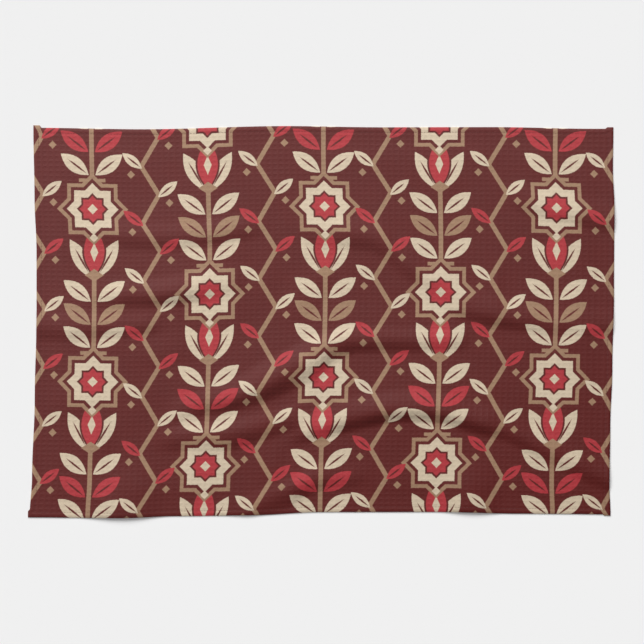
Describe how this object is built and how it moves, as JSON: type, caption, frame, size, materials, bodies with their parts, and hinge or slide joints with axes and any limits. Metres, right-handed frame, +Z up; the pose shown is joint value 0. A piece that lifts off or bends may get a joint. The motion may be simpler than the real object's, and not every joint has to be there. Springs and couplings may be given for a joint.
{
  "type": "tea towel",
  "caption": "Printed cotton tea towel, hemmed on all sides, spread out face up with soft ridges and a lower edge that stands off the surface in places.",
  "frame": {"origin": "the middle of the towel's outline box, in the plane of its underside", "axes": "+X along the long side, to the right as seen from above; +Y along the short side, towards the upper edge; +Z up, out of the printed face"},
  "size_m": [0.6176, 0.4138, 0.0078],
  "materials": {
    "printed_cotton": "fine waffle-weave cotton, matte, dyed maroon on the face with a cream, tan and red print, off-white on the back"
  },
  "bodies": {
    "root": {"towel": "printed_cotton"}
  },
  "joints": []
}
